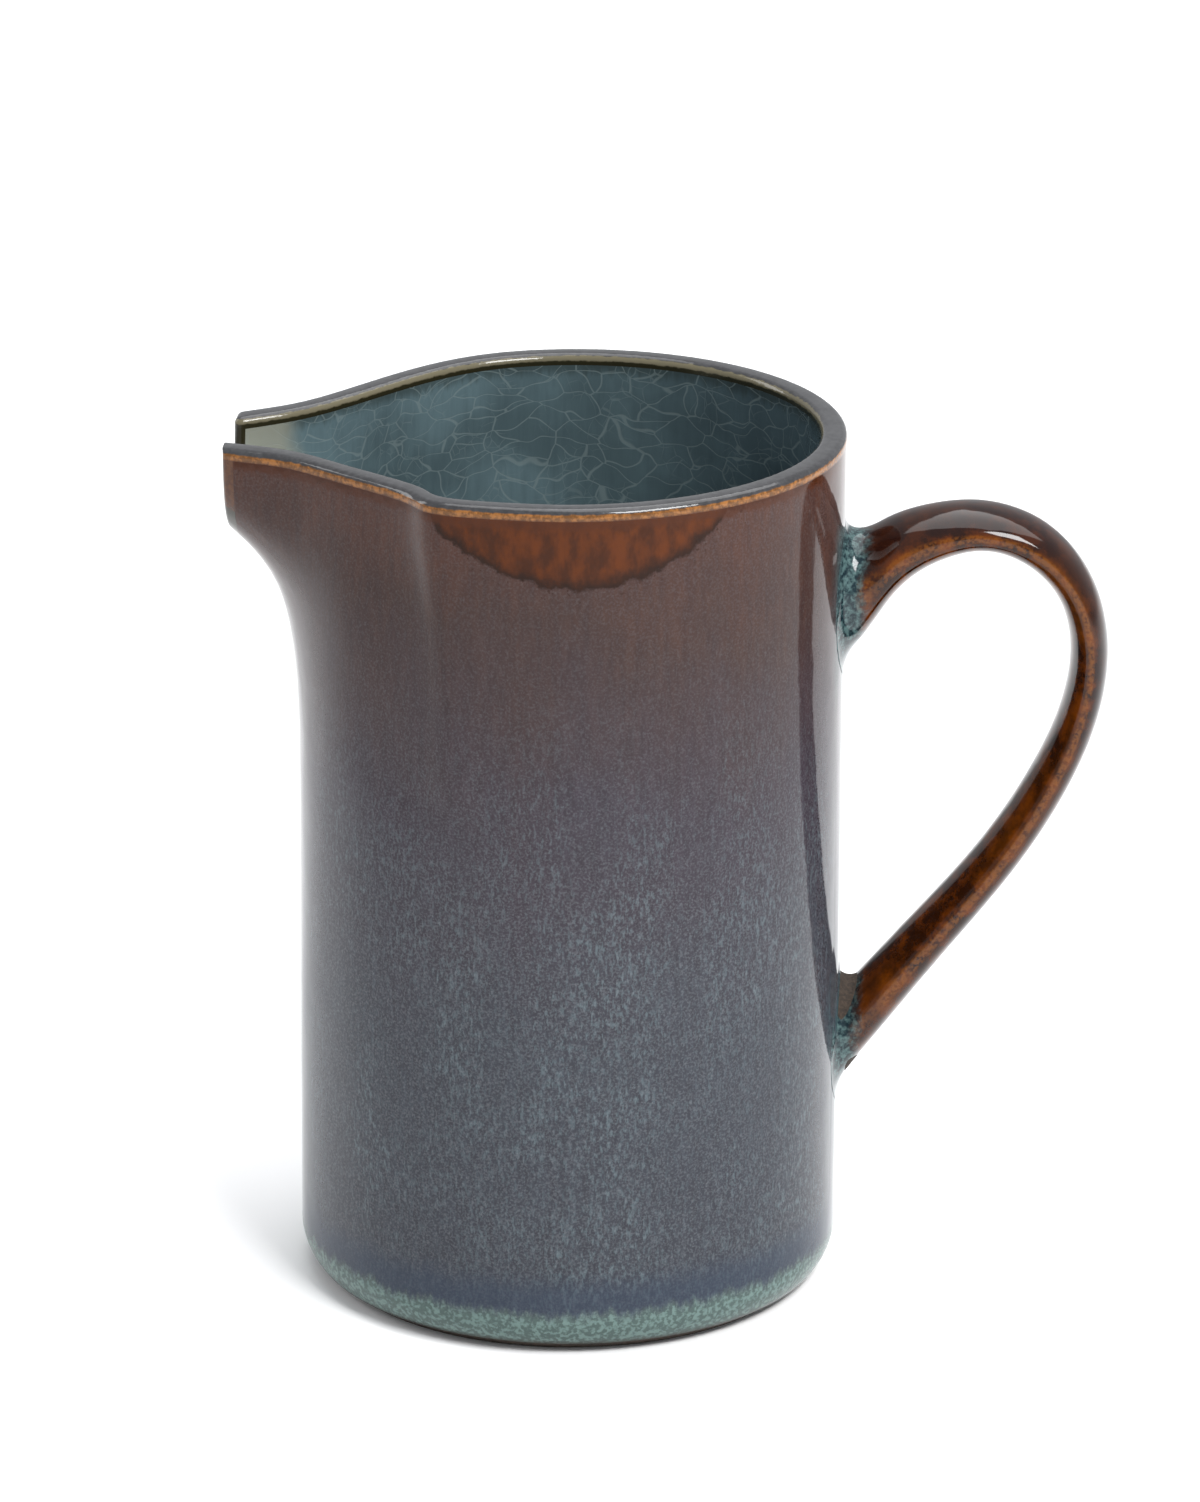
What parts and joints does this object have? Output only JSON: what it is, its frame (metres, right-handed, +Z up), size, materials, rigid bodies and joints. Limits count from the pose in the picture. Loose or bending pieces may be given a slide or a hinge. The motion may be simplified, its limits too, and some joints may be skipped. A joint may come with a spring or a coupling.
{
  "type": "ceramic pitcher",
  "caption": "Straight-sided glazed stoneware pitcher with a drawn spout, an arched pulled handle and an unglazed foot ring.",
  "frame": {"origin": "centre of the foot ring, on the table plane", "axes": "+Z up along the pitcher's axis, +X from the axis towards the handle, so the spout is at -X"},
  "size_m": [0.1695, 0.105, 0.171],
  "materials": {
    "fired_clay": "matte",
    "outer_glaze": "gloss",
    "inner_glaze": "gloss",
    "rim_glaze": "gloss",
    "handle_glaze": "gloss"
  },
  "bodies": {
    "root": {"clay_body": "fired_clay", "clay_handle": "fired_clay", "upper_joint_slip": "fired_clay", "lower_joint_slip": "fired_clay", "outer_glaze": "outer_glaze", "inner_glaze": "inner_glaze", "rim_glaze": "rim_glaze", "handle_glaze": "handle_glaze"}
  },
  "joints": []
}
